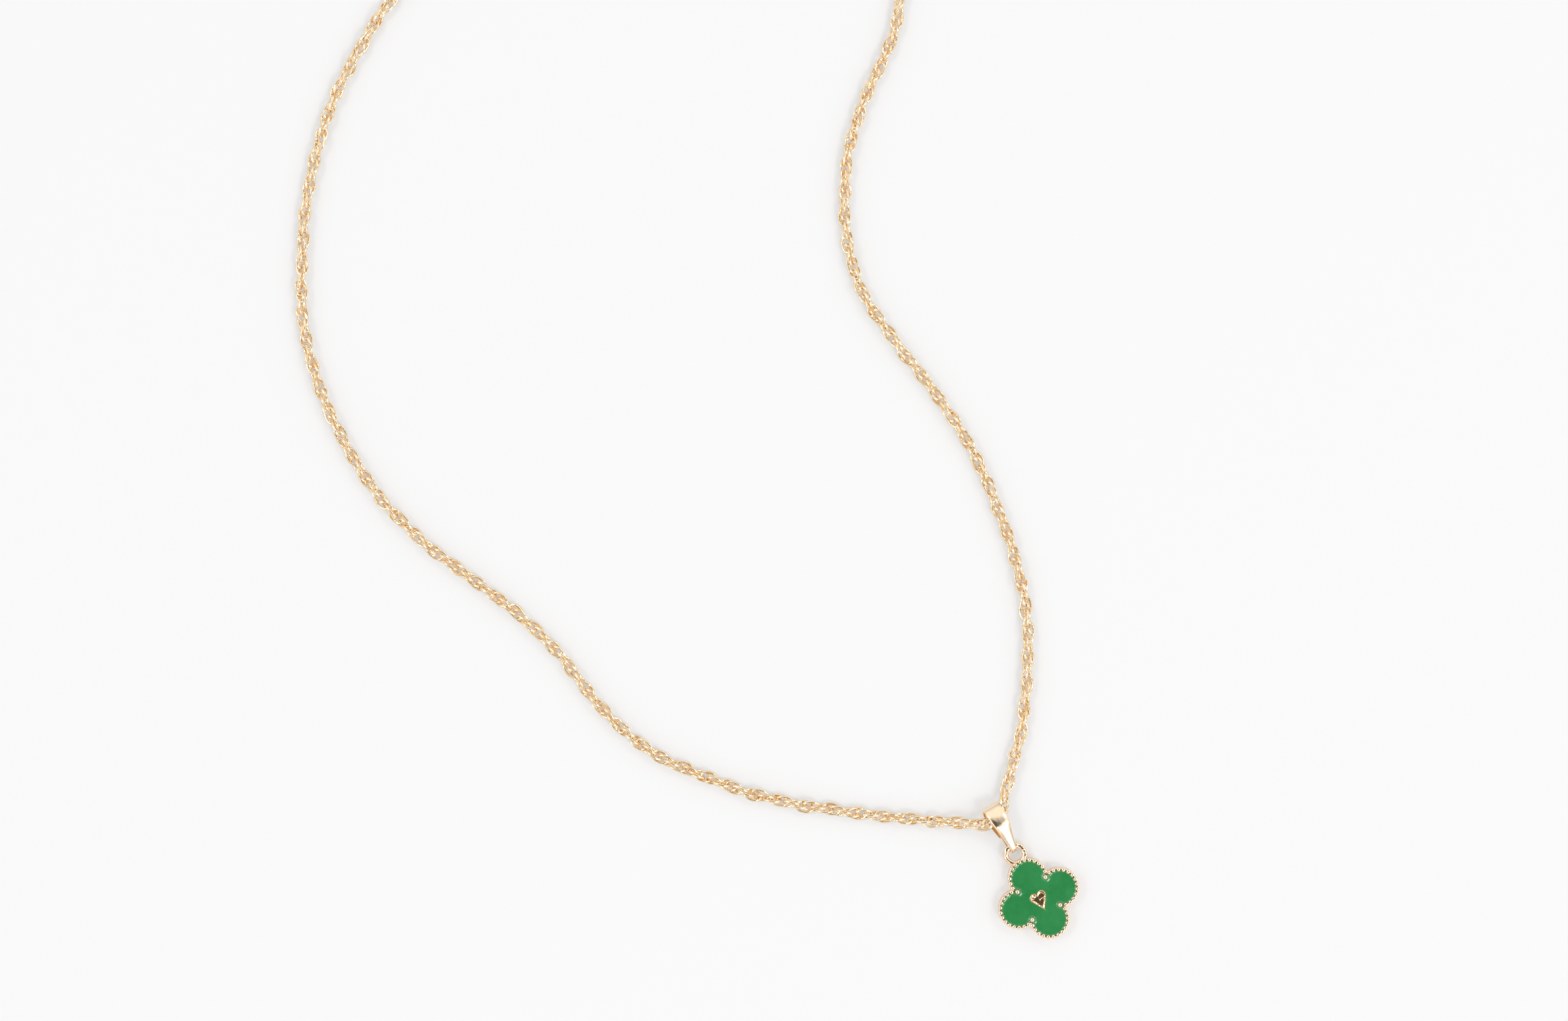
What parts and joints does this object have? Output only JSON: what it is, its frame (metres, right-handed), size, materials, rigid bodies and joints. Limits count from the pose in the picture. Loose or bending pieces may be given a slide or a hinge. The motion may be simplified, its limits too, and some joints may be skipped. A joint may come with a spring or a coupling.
{
  "type": "four leaf clover pendant necklace",
  "caption": "Clover shaped pendant of green enamel in a beaded metal setting with a raised heart, on a tapered bail and a closed loop of fine link chain, lying flat.",
  "frame": {"origin": "centre of the flat back face of the clover, on the surface that the necklace lies on", "axes": "+Z out of the clover's enamelled face, square to that surface; +X and +Y along the surface, with the pendant's top turned 28 degrees from +Y towards -X"},
  "size_m": [0.128, 0.176, 0.0042],
  "materials": {
    "setting_gold": "polished, plated in rose gold tone",
    "green_enamel": "glossy enamel",
    "bail_gold": "polished, plated in pale gold tone",
    "chain_gold": "polished, plated in pale gold tone",
    "clasp_gold": "polished, plated in pale gold tone"
  },
  "bodies": {
    "root": {"clover_setting": "setting_gold", "clover_enamel": "green_enamel", "bail": "bail_gold", "chain_right": "chain_gold", "chain_left": "chain_gold", "clasp": "clasp_gold", "end_ring": "clasp_gold"}
  },
  "joints": []
}
